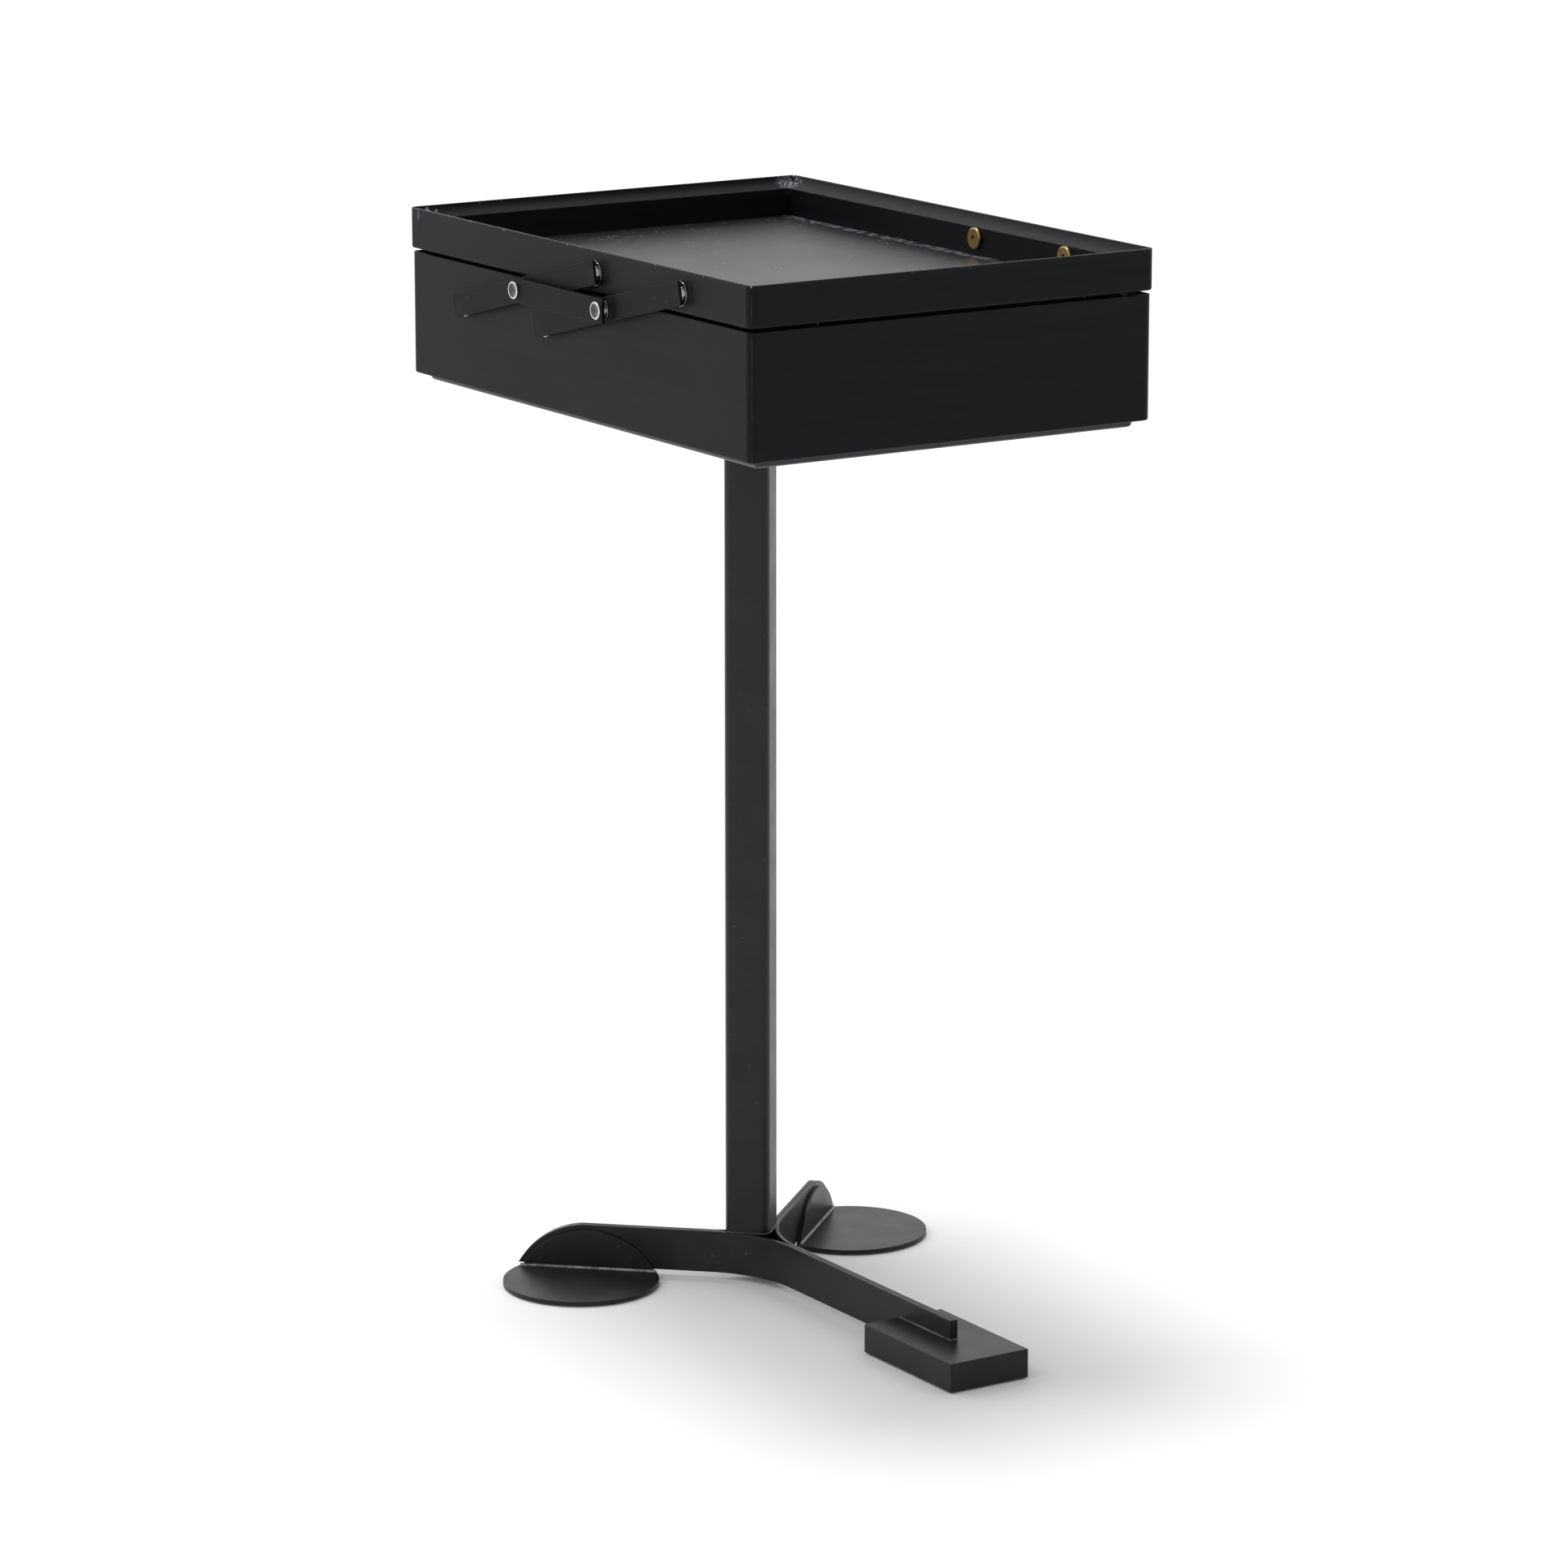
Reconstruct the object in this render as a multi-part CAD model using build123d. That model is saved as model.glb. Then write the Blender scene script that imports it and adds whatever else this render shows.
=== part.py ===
from build123d import *
import os
from math import cos, radians, sin, sqrt

# A small drafting table: a shallow wooden box on one square steel column, with a tray lid
# that swings up and back on parallel steel links, and a three-legged flat-bar foot.
# Millimetres. +Z up, -Y is the front (the leg with the block), -X is the left side.
# Pieces are drawn about the column's axis and moved to the shared origin at the end.

# ---------------------------------------------------------------- driving dimensions
overall_height = 750.0

# wooden lid and box
lid_length = 444.0          # along Y
lid_width = 318.0           # along X
box_setback = 1.0           # the box is this much smaller than the lid on each side
box_ahead_of_column = 30.0  # the box's centre is this far in front of the column
wall = 14.0
lid_wall_height = 28.0
box_wall_height = 85.0
rim_gap = 2.5               # between the box's rim and the lid's walls
corner_radius = 6.0
bottom_edge_radius = 1.5
top_edge_radius = 0.4
cove_depth = 7.3
rim_land = 1.6              # flat left on top of a wall outside its cove
ogee_height = 5.5           # how far a panel shows below its walls
ogee_start = 6.0            # inset of the panel's edge under the wall
ogee_run = 7.5              # how far the moulding runs inwards
field_height = 1.5          # raised middle of a panel, inside the walls
field_gap = 0.3

# column and its top plate
column_size = 32.0
column_wall = 2.0
column_radius = 6.0
plate_size = 110.0
plate_thickness = 4.0
plate_radius = 8.0
plate_screw_spacing = 84.0
mount_screw_radius = 3.0
mount_screw_head_radius = 6.0
insert_radius = 4.5
insert_length = 6.0

# flat-bar legs, folded disc feet and front block
bar_thickness = 3.0
bar_height = 30.0
bar_clearance = 5.0         # floor to the bars' lower edges
bar_edge_radius = 0.6
front_bend_radius = 85.0    # inside middle line, the two bars that reach the front
rear_bend_radius = 40.0     # the bar that joins the rear legs
rear_leg_angle = 47.3       # each rear leg from straight back
foot_reach = 126.0          # leg junction to the middle of a disc's fold
disc_radius = 55.0
disc_thickness = 3.0
disc_fold = 26.0            # fold line from the disc's centre
disc_bend_radius = 2.4      # outside of the fold
bar_end_margin = 3.7        # bar ends stand this far outside the folded edge
block_length = 105.0
block_width = 63.0
block_height = 20.0
block_edge = 0.4            # chamfer on the block's edges
block_reach = 228.6         # leg junction to the block's middle
block_bar_end = 9.5         # the bars end this far past the block's middle
pad_thickness = 1.0
pad_inset = 2.0
slot_gap = 0.1

# links, bolts and couplers
link_width = 16.5
link_thickness = 2.0
link_end = 6.5              # past the last pivot
link_corner_radius = 1.5
link_spacing = 107.5        # front link to rear link
link_rise = 43.0            # lower to upper pivot, along Z
upper_pivot_drop = 15.0     # lid's top to the upper pivots
rear_pivot_from_back = 77.0    # rear lower pivot from the back of the box
front_pivot_from_front = 82.5  # front upper pivot from the front of the box
washer_radius = 8.5
washer_flange = 1.3         # thickness of the flange, against the wall
washer_neck_radius = 5.0
lid_washer_thickness = 3.5  # flange and neck together
bolt_radius = 3.0
bolt_head_radius = 7.5
bolt_head_height = 2.2
bolt_head_edge = 0.9        # rounding of the head's rim
hex_key = 4.0
hex_depth = 1.5
coupler_screw_radius = 2.5
coupler_head_radius = 6.0
coupler_head_height = 2.0
coupler_head_edge = 0.4     # chamfer round the head
coupler_head_land = 0.6     # flat ring between the chamfer and the coned recess
coupler_recess_depth = 1.2
coupler_recess_floor = 0.5  # radius of the flat at the bottom of the cone
coupler_washer_radius = 6.6
coupler_washer_flange = 1.2     # thickness of the flange, against the link
coupler_washer_neck_radius = 4.0
coupler_washer_thickness = 3.5  # flange and neck together
retainer_radius = 4.5
retainer_thickness = 0.8
running = 0.05              # radial clearance of a pin in its hole
air = 0.3                   # gap between faces of different bodies

# felt rest buttons in the box's cove
button_radius = 3.0
button_inset = 10.0
button_depth = 3.0
button_from_side = 44.0     # from the box's left and right faces

# ---------------------------------------------------------------- levels and places
box_length = lid_length - 2 * box_setback
box_width = lid_width - 2 * box_setback
centre_y = -box_ahead_of_column

lid_top = overall_height
lid_bottom = lid_top - lid_wall_height
box_top = lid_bottom - rim_gap
box_bottom = box_top - box_wall_height
panel_bottom = box_bottom - ogee_height
column_top = panel_bottom - plate_thickness
bar_top = bar_clearance + bar_height
column_bottom = bar_top

half_column = column_size / 2
phi = radians(rear_leg_angle)
# the legs' outer faces lie flush with the column's two front faces
junction_y = -(half_column - bar_thickness) / sin(phi)
junction = Vector(0, junction_y)

upper_z = lid_top - upper_pivot_drop
lower_z = upper_z - link_rise
rear_lower_y = centre_y + box_length / 2 - rear_pivot_from_back
lower_y = {"rear": rear_lower_y, "front": rear_lower_y - link_spacing}
front_upper_y = centre_y - box_length / 2 + front_pivot_from_front
link_run = lower_y["front"] - front_upper_y

link_inner = lid_width / 2 + air + lid_washer_thickness
link_outer = link_inner + link_thickness
coupler_inner = link_outer + air + coupler_washer_thickness
coupler_outer = coupler_inner + link_thickness
link_length = sqrt(link_run**2 + link_rise**2)
coupler_place = link_length / 2                  # from the lower pivot, along the link
coupler_ahead = link_run / 2
coupler_z = lower_z + link_rise / 2

block_front = junction_y - block_reach - block_length / 2
lid_back = centre_y + lid_length / 2
origin_y = (block_front + lid_back) / 2

pieces = {}


def keep(name, *solids):
    """Store one node, made of one or more separate solids."""
    pieces[name] = list(solids)


def prism(sketch, low, high):
    """A sketch in XY extruded from one level to another."""
    return extrude(Pos(0, 0, low) * sketch, high - low)


def x_rod(radius, x0, x1, y, z):
    """A round bar along X."""
    rod = Rot(0, 90, 0) * Cylinder(radius, abs(x1 - x0))
    return Pos((x0 + x1) / 2, y, z) * rod


def x_ring(outer, inner, x0, x1, y, z):
    """A flat ring with its axis along X."""
    return x_rod(outer, x0, x1, y, z) - x_rod(inner, min(x0, x1) - 1, max(x0, x1) + 1, y, z)


# ---------------------------------------------------------------- wooden tray walls
def tray_walls(prefix, length, width, low, high, holes):
    """Four mitred walls with a cove along their inner top edges."""
    depth = cove_depth
    run = wall - rim_land
    section = make_face([
        Line((0, low), (wall, low)),
        Line((wall, low), (wall, high - depth)),
        EllipticalCenterArc((wall, high), run, depth, start_angle=180, arc_size=90),
        Line((rim_land, high), (0, high)),
        Line((0, high), (0, low)),
    ])
    shell = prism(RectangleRounded(width, length, corner_radius), low, high)
    shell = fillet(shell.edges().group_by(Axis.Z)[0], bottom_edge_radius)
    shell = fillet(shell.edges().group_by(Axis.Z)[-1], top_edge_radius)
    for side, turn, along, across in (("front", 0, width, length), ("right", 90, length, width),
                                      ("rear", 180, width, length), ("left", 270, length, width)):
        # drawn as a front wall, its outer face at y = -across / 2, then turned
        plane = Plane(origin=(-along / 2, -across / 2, 0), x_dir=(0, 1, 0), z_dir=(1, 0, 0))
        bar = extrude(plane * section, along)
        half, outer = along / 2, -across / 2
        mitre = prism(make_face(Polyline((-half, outer), (half, outer), (half - wall, outer + wall),
                                         (wall - half, outer + wall), close=True)), low, high)
        body = (Rot(0, 0, turn) * (bar & mitre)) & shell
        body = Pos(0, centre_y, 0) * body
        for hole in holes.get(side, []):
            body -= hole
        keep(f"{prefix}_wall_{side}", body)


def moulded_panel(name, length, width, top, holes=()):
    """A panel under the walls, with an ogee round its edge and a raised middle between the walls."""
    def slab(size, other, turn):
        half = size / 2 - ogee_start
        foot = half - ogee_run
        step, drop = ogee_run / 2, ogee_height / 2
        right = [
            EllipticalCenterArc((half, top - drop), step, drop, start_angle=90, arc_size=90),
            EllipticalCenterArc((foot, top - drop), step, drop, start_angle=0, arc_size=-90),
        ]
        left = [mirror(arc, Plane.YZ) for arc in right]
        face = make_face([Line((-half, top), (half, top)), *right,
                          Line((foot, top - ogee_height), (-foot, top - ogee_height)), *left])
        return Rot(0, 0, turn) * extrude(Plane.XZ * face, other / 2, both=True)
    plate = slab(width, length, 0) & slab(length, width, 90)
    inside = 2 * (wall + field_gap)
    plate += prism(Rectangle(width - inside, length - inside), top, top + field_height)
    plate = Pos(0, centre_y, 0) * plate
    for hole in holes:
        plate -= hole
    keep(name, plate)


def pivot_holes(low_or_high):
    """Bolt holes through the left and right walls of the box or the lid."""
    holes = {}
    for side, sign in (("left", -1), ("right", 1)):
        holes[side] = []
        for y in lower_y.values():
            place = (y, lower_z) if low_or_high == "box" else (y - link_run, upper_z)
            holes[side].append(x_rod(bolt_radius + running, sign * (box_width / 2 - 2 * wall),
                                     sign * lid_width, *place))
    return holes


button_floor = box_top - cove_depth - button_depth
button_top = lid_bottom - ogee_height - air
button_y = box_length / 2 - button_inset
button_x = box_width / 2 - button_from_side
buttons = {"front": [], "rear": []}
box_holes = pivot_holes("box")
for side, sign in (("front", -1), ("rear", 1)):
    box_holes[side] = []
    for x in (-button_x, button_x):
        place = Pos(x, centre_y + sign * button_y, button_floor)
        base = (Align.CENTER, Align.CENTER, Align.MIN)
        box_holes[side].append(place * Cylinder(button_radius + running, box_wall_height, align=base))
        button = place * Cylinder(button_radius, button_top - button_floor, align=base)
        buttons[side].append(button)
keep("rest_buttons", *buttons["front"], *buttons["rear"])

mount_places = [Pos(x, y, 0) for x in (-plate_screw_spacing / 2, plate_screw_spacing / 2)
                for y in (-plate_screw_spacing / 2, plate_screw_spacing / 2)]
tray_walls("lid", lid_length, lid_width, lid_bottom, lid_top, pivot_holes("lid"))
moulded_panel("lid_panel", lid_length, lid_width, lid_bottom)
tray_walls("box", box_length, box_width, box_bottom, box_top, box_holes)
insert_holes = [place * prism(Circle(insert_radius), panel_bottom - 1, panel_bottom + insert_length)
                for place in mount_places]
moulded_panel("box_bottom_panel", box_length, box_width, box_bottom, insert_holes)


# ---------------------------------------------------------------- column and top plate
tube = RectangleRounded(column_size, column_size, column_radius)
bore_size = column_size - 2 * column_wall
tube -= RectangleRounded(bore_size, bore_size, column_radius - column_wall)
keep("column_tube", prism(Rot(0, 0, 45) * tube, column_bottom, column_top))

plate = prism(RectangleRounded(plate_size, plate_size, plate_radius), column_top, panel_bottom)
screws = []
inserts = []
head_depth = mount_screw_head_radius - mount_screw_radius
for place in mount_places:
    cone = Cone(mount_screw_head_radius, mount_screw_radius, head_depth,
                align=(Align.CENTER, Align.CENTER, Align.MIN))
    cone = place * Pos(0, 0, column_top) * cone
    shank_top = panel_bottom + insert_length - 1
    shank = place * prism(Circle(mount_screw_radius), column_top + head_depth, shank_top)
    key = place * prism(RegularPolygon(hex_key / 2, 6, major_radius=False),
                        column_top, column_top + hex_depth)
    screws.append(cone + shank - key)
    hole = place * prism(Circle(mount_screw_radius + running), column_top - 1, panel_bottom + 1)
    plate = plate - cone - hole
    ring = Circle(insert_radius) - Circle(mount_screw_radius + running)
    inserts.append(place * prism(ring, panel_bottom, panel_bottom + insert_length))
keep("top_plate", plate)
keep("mount_screws", *screws)
keep("mount_inserts", *inserts)


# ---------------------------------------------------------------- flat-bar legs
legs = {"left": Vector(-sin(phi), cos(phi)), "right": Vector(sin(phi), cos(phi)), "front": Vector(0, -1)}
fold_level = pad_thickness + disc_thickness / 2
rear_bar_length = foot_reach + disc_radius + bar_end_margin
front_bar_length = block_reach + block_bar_end
bar_length = {"left": rear_bar_length, "right": rear_bar_length, "front": front_bar_length}


def bent_bar(one, two, radius):
    """A flat bar on edge from leg one to leg two, on the inner side of both legs' middle lines."""
    a, b = legs[one], legs[two]
    middle = (a + b).normalized()
    half_angle = radians(a.get_angle(b)) / 2

    def edge(offset):
        """The bar's outline at this distance inwards from the legs' middle lines."""
        inward_a = (middle - a * middle.dot(a)).normalized()
        inward_b = (middle - b * middle.dot(b)).normalized()
        start = junction + a * bar_length[one] + inward_a * offset
        corner = junction + middle * (offset / sin(half_angle))
        end = junction + b * bar_length[two] + inward_b * offset
        return start, end, FilletPolyline(start, corner, end, radius=radius + bar_thickness / 2 - offset)

    outer_start, outer_end, outer = edge(0)
    inner_start, inner_end, inner = edge(bar_thickness)
    face = make_face([outer, Line(outer_end, inner_end), inner, Line(inner_start, outer_start)])
    bar = prism(face, bar_clearance, bar_top)
    for level in (0, -1):
        long_edges = bar.edges().group_by(Axis.Z)[level].filter_by(lambda e: e.length > 2 * bar_thickness)
        bar = fillet(long_edges, bar_edge_radius)
    for leg in (one, two):
        if leg != "front":
            bar -= end_trim(leg)
    return bar


def leg_frame(leg):
    """X along the leg, Y up, Z towards the front, at the middle of the disc's fold."""
    along = legs[leg]
    spot = junction + along * foot_reach
    front = Vector(along.Y, -along.X) if leg == "right" else Vector(-along.Y, along.X)
    if front.Y > 0:
        front = front * -1
    x_dir = along if along.cross(Vector(0, 0, 1)).dot(front) > 0 else along * -1
    return Plane(origin=(spot.X, spot.Y, 0), x_dir=x_dir, z_dir=front)


def end_trim(leg):
    """What is cut off a rear leg's end, leaving an arc just outside the disc's folded edge."""
    frame = leg_frame(leg)
    reach = disc_radius + bar_end_margin
    outwards = 1 if frame.x_dir.dot(legs[leg]) > 0 else -1
    region = Pos(outwards * reach, bar_top / 2) * Rectangle(2 * reach, 2 * bar_height)
    region -= Pos(0, fold_level - disc_fold) * Circle(reach)
    both_bars = 3 * bar_thickness             # each way from the leg's middle plane, with room
    return extrude(frame * region, both_bars, both=True)


keep("leg_bar_left", bent_bar("left", "front", front_bend_radius))
keep("leg_bar_right", bent_bar("right", "front", front_bend_radius))
keep("leg_bar_rear", bent_bar("left", "right", rear_bend_radius))


# ---------------------------------------------------------------- feet
def folded_disc(leg):
    """A round plate folded up along a chord, its small part standing against the leg."""
    frame = leg_frame(leg)
    near = bar_thickness                      # the plate's back, from the leg's middle plane
    upright = Pos(0, fold_level - disc_fold) * Circle(disc_radius)
    upright &= Pos(0, pad_thickness + disc_radius) * Rectangle(2 * disc_radius, 2 * disc_radius)
    plate = extrude(frame * Pos(0, 0, near) * upright, disc_thickness)
    floor = Plane(origin=frame.origin, x_dir=frame.z_dir, z_dir=(0, 0, 1))
    centre = near + disc_thickness / 2 + disc_fold
    flat = Pos(centre, 0) * Circle(disc_radius)
    flat &= Pos(near + disc_radius, 0) * Rectangle(2 * disc_radius, 2 * disc_radius)
    flat_plate = extrude(floor * Pos(0, 0, pad_thickness) * flat, disc_thickness)
    body = plate + flat_plate
    rear_edge = body.edges().filter_by(lambda e: abs(e.center().Z - pad_thickness) < 0.01
                                       and abs(frame.to_local_coords(e.center()).Z - near) < 0.01)
    body = fillet(rear_edge, disc_bend_radius)
    pad = Pos(centre, 0) * Circle(disc_radius - pad_inset)
    pad_start = near + disc_thickness
    pad &= Pos(pad_start + disc_radius, 0) * Rectangle(2 * disc_radius, 2 * disc_radius)
    return body, extrude(floor * pad, pad_thickness)


for leg in ("left", "right"):
    disc, pad = folded_disc(leg)
    keep(f"foot_disc_{leg}", disc)
    keep(f"foot_pad_{leg}", pad)

block_y = junction_y - block_reach
block = Pos(0, block_y, pad_thickness + block_height / 2) * Box(block_width, block_length, block_height)
block = chamfer(block.edges(), block_edge)
slot_end = junction_y - front_bar_length - slot_gap
slot_back = block_y + block_length
slot = Pos(0, (slot_end + slot_back) / 2) * Rectangle(2 * (bar_thickness + slot_gap), slot_back - slot_end)
block -= prism(slot, bar_clearance - slot_gap, bar_top)
keep("foot_block", block)
block_pad = Pos(0, block_y) * Rectangle(block_width - 2 * pad_inset, block_length - 2 * pad_inset)
keep("foot_pad_block", prism(block_pad, 0, pad_thickness))


# ---------------------------------------------------------------- links, bolts and couplers
def flat_bar(length, holes, thickness):
    """A bar along local X from its first hole, square-ended, standing from local Z 0."""
    outline = Pos(length / 2, 0) * RectangleRounded(length + 2 * link_end, link_width, link_corner_radius)
    for place, radius in holes:
        outline -= Pos(place, 0) * Circle(radius)
    return extrude(outline, thickness)


def furniture_bolt(sign, wall_inside, y, z):
    """A flat-headed bolt from inside a wall out to the link's outer face."""
    seat = wall_inside - air
    head = x_rod(bolt_head_radius, sign * (seat - bolt_head_height), sign * seat, y, z)
    head = fillet(head.edges().group_by(Axis.X)[0 if sign > 0 else -1], bolt_head_edge)
    shank = x_rod(bolt_radius, sign * seat, sign * link_outer, y, z)
    key_plane = Plane(origin=(sign * (seat - bolt_head_height), y, z), x_dir=(0, 1, 0), z_dir=(sign, 0, 0))
    key = extrude(key_plane * RegularPolygon(hex_key / 2, 6, major_radius=False), hex_depth)
    return head + shank - key


def flanged_washer(radii, flange, sign, start, stop, y, z):
    """A turned washer with its flange towards the middle of the table and its neck outwards."""
    rim, neck, bore = radii
    return x_ring(rim, bore, sign * start, sign * (start + flange), y, z) + x_ring(
        neck, bore, sign * (start + flange), sign * stop, y, z)


def coupler_screw(sign, y, z):
    """A low turned head with a coned recess; its shank ends behind the link."""
    tip = link_inner - air - retainer_thickness
    rim = coupler_head_radius
    top = coupler_outer + coupler_head_height
    land = rim - coupler_head_edge - coupler_head_land
    floor = top - coupler_recess_depth
    half = make_face(Polyline(
        (0, tip), (coupler_screw_radius, tip), (coupler_screw_radius, coupler_outer), (rim, coupler_outer),
        (rim, top - coupler_head_edge), (rim - coupler_head_edge, top), (land, top),
        (coupler_recess_floor, floor), (0, floor), close=True))
    body = revolve(Plane.XZ * half, Axis.Z)
    return Pos(0, y, z) * Rot(0, sign * 90, 0) * body


for side, sign in (("left", -1), ("right", 1)):
    screws = []
    washers = []
    retainers = []
    for end, y in lower_y.items():
        name = f"{end}_{side}"
        upper_y = y - link_run
        coupler_y = y - coupler_ahead
        holes = ((0, bolt_radius + running), (link_length, bolt_radius + running),
                 (coupler_place, coupler_screw_radius + running))
        bar = flat_bar(link_length, holes, link_thickness)
        along = Vector(0, -link_run, link_rise).normalized()
        start = Vector(sign * link_inner, y, lower_z)
        keep(f"link_bar_{name}", Plane(origin=start, x_dir=along, z_dir=(sign, 0, 0)) * bar)
        keep(f"lid_bolt_{name}", furniture_bolt(sign, lid_width / 2 - wall, upper_y, upper_z))
        keep(f"box_bolt_{name}", furniture_bolt(sign, box_width / 2 - wall, y, lower_z))
        keep(f"lid_washer_{name}", flanged_washer(
            (washer_radius, washer_neck_radius, bolt_radius + running), washer_flange, sign,
            lid_width / 2 + air, link_inner, upper_y, upper_z))
        keep(f"box_washer_{name}", flanged_washer(
            (washer_radius, washer_neck_radius, bolt_radius + running), washer_flange, sign,
            box_width / 2 + air, link_inner, y, lower_z))
        screws.append(coupler_screw(sign, coupler_y, coupler_z))
        washers.append(flanged_washer(
            (coupler_washer_radius, coupler_washer_neck_radius, coupler_screw_radius + running),
            coupler_washer_flange, sign, link_outer + air, coupler_inner, coupler_y, coupler_z))
        retainers.append(x_ring(retainer_radius, coupler_screw_radius, sign * (link_inner - air),
                                sign * (link_inner - air - retainer_thickness), coupler_y, coupler_z))
    holes = ((0, coupler_screw_radius + running), (link_spacing, coupler_screw_radius + running))
    bar = flat_bar(link_spacing, holes, link_thickness)
    start = Vector(sign * coupler_inner, lower_y["rear"] - coupler_ahead, coupler_z)
    keep(f"coupler_bar_{side}", Plane(origin=start, x_dir=(0, -1, 0), z_dir=(sign, 0, 0)) * bar)
    keep(f"coupler_screws_{side}", *screws)
    keep(f"coupler_washers_{side}", *washers)
    keep(f"coupler_retainers_{side}", *retainers)


# ---------------------------------------------------------------- export
os.makedirs("parts", exist_ok=True)
for name, solids in pieces.items():
    placed = [Pos(0, -origin_y, 0) * solid for solid in solids]
    shape = placed[0] if len(placed) == 1 else Compound(children=placed)
    export_step(shape, f"parts/{name}.step")
print(len(pieces), "nodes, the column stands at y", round(-origin_y, 3))
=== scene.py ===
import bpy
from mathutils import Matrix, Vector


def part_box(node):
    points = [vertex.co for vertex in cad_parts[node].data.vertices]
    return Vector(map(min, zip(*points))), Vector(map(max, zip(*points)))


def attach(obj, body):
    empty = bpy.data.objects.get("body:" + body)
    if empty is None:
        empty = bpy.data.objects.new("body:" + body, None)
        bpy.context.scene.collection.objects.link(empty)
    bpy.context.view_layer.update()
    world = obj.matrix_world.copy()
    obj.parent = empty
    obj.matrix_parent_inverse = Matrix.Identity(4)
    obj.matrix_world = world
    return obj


bl_info = {
    "name": "Drafting Table Finishes",
    "version": (1, 0, 0),
    "blender": (4, 5, 0),
    "location": "3D View > Sidebar > Drafting Table",
    "description": "Stained wood, satin steel, fittings, welds, floor, lights and camera for the drafting table",
    "category": "Object",
}

from math import cos, pi, radians, sin

import bmesh
import bpy
from bpy.props import FloatProperty, FloatVectorProperty, PointerProperty
from bpy.types import Operator, Panel, PropertyGroup
from mathutils import Vector

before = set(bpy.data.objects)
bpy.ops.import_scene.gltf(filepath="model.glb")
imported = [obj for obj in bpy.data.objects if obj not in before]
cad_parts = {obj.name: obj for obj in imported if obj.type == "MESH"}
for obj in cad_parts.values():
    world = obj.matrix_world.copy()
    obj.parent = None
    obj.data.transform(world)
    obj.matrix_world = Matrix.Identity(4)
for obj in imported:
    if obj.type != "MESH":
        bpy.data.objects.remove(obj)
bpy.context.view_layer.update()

MM = 0.001
SIDES = ("left", "right")
ENDS = ("rear", "front")


# ---------------------------------------------------------------- settings
class WoodSettings(PropertyGroup):
    """Black stained wood of the box and the lid."""
    stain: FloatVectorProperty(
        name="Stain", description="Colour of the walls", subtype="COLOR", size=3,
        default=(0.0046, 0.0046, 0.0056))
    panel_stain: FloatVectorProperty(
        name="Panel stain", description="Colour of the two panels", subtype="COLOR", size=3,
        default=(0.0085, 0.0083, 0.0090))
    worn: FloatVectorProperty(
        name="Worn wood", description="Colour where the stain is rubbed thin", subtype="COLOR", size=3,
        default=(0.30, 0.30, 0.34))
    wall_roughness: FloatProperty(
        name="Wall roughness", description="Roughness of the walls' finish", default=0.42, min=0, max=1)
    panel_roughness: FloatProperty(
        name="Panel roughness", description="Roughness of the panels' finish", default=0.36, min=0, max=1)
    wall_gloss: FloatProperty(
        name="Wall gloss", description="How strongly the walls reflect", default=0.108, min=0, max=1)
    panel_gloss: FloatProperty(
        name="Panel gloss", description="How strongly the panels reflect", default=0.36, min=0, max=1)
    gloss_tint: FloatVectorProperty(
        name="Gloss tint", description="Colour of the wood's reflections", subtype="COLOR", size=3,
        default=(0.88, 0.91, 1.0))
    pore_width: FloatProperty(
        name="Pore width", description="Width of one grain line", default=0.9 * MM, unit="LENGTH")
    pore_length: FloatProperty(
        name="Pore length", description="Length of one grain line", default=26 * MM, unit="LENGTH")


class SteelSettings(PropertyGroup):
    """Satin black steel of the column, legs, feet, links and couplers."""
    coat: FloatVectorProperty(
        name="Coat", description="Colour of the blackened steel", subtype="COLOR", size=3,
        default=(0.0076, 0.0076, 0.0089))
    link_coat: FloatVectorProperty(
        name="Link coat", description="Colour of the links and couplers", subtype="COLOR", size=3,
        default=(0.0036, 0.0034, 0.0040))
    rubbed: FloatVectorProperty(
        name="Rubbed edge", description="Colour where an edge is rubbed", subtype="COLOR", size=3,
        default=(0.17, 0.17, 0.18))
    roughness: FloatProperty(
        name="Roughness", description="Roughness of the satin coat", default=0.36, min=0, max=1)
    gloss: FloatProperty(
        name="Gloss", description="How strongly the stand reflects", default=0.30, min=0, max=1)
    link_gloss: FloatProperty(
        name="Link gloss", description="How strongly the links and couplers reflect", default=0.095,
        min=0, max=1)
    tip_gloss: FloatProperty(
        name="Tip gloss", description="How strongly the blackened bolt tips reflect", default=0.11,
        min=0, max=1)
    gloss_tint: FloatVectorProperty(
        name="Gloss tint", description="Colour of the steel's reflections", subtype="COLOR", size=3,
        default=(0.93, 0.92, 1.0))
    edge: FloatProperty(
        name="Edge", description="Rounding that the edges seem to have", default=0.45 * MM, unit="LENGTH")


class FittingSettings(PropertyGroup):
    """Plated fittings, felt and foot pads."""
    nickel: FloatVectorProperty(
        name="Nickel", description="Washers and coupler screws", subtype="COLOR", size=3,
        default=(0.68, 0.665, 0.64))
    brass: FloatVectorProperty(
        name="Brass", description="Furniture bolts and inserts", subtype="COLOR", size=3,
        default=(0.42, 0.29, 0.105))
    zinc: FloatVectorProperty(
        name="Zinc", description="Mounting screws and retaining rings", subtype="COLOR", size=3,
        default=(0.50, 0.51, 0.54))
    felt: FloatVectorProperty(
        name="Felt", description="Rest buttons", subtype="COLOR", size=3, default=(0.018, 0.018, 0.019))
    pad: FloatVectorProperty(
        name="Foot pads", description="Thin pads under the feet", subtype="COLOR", size=3,
        default=(0.30, 0.30, 0.31))


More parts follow.
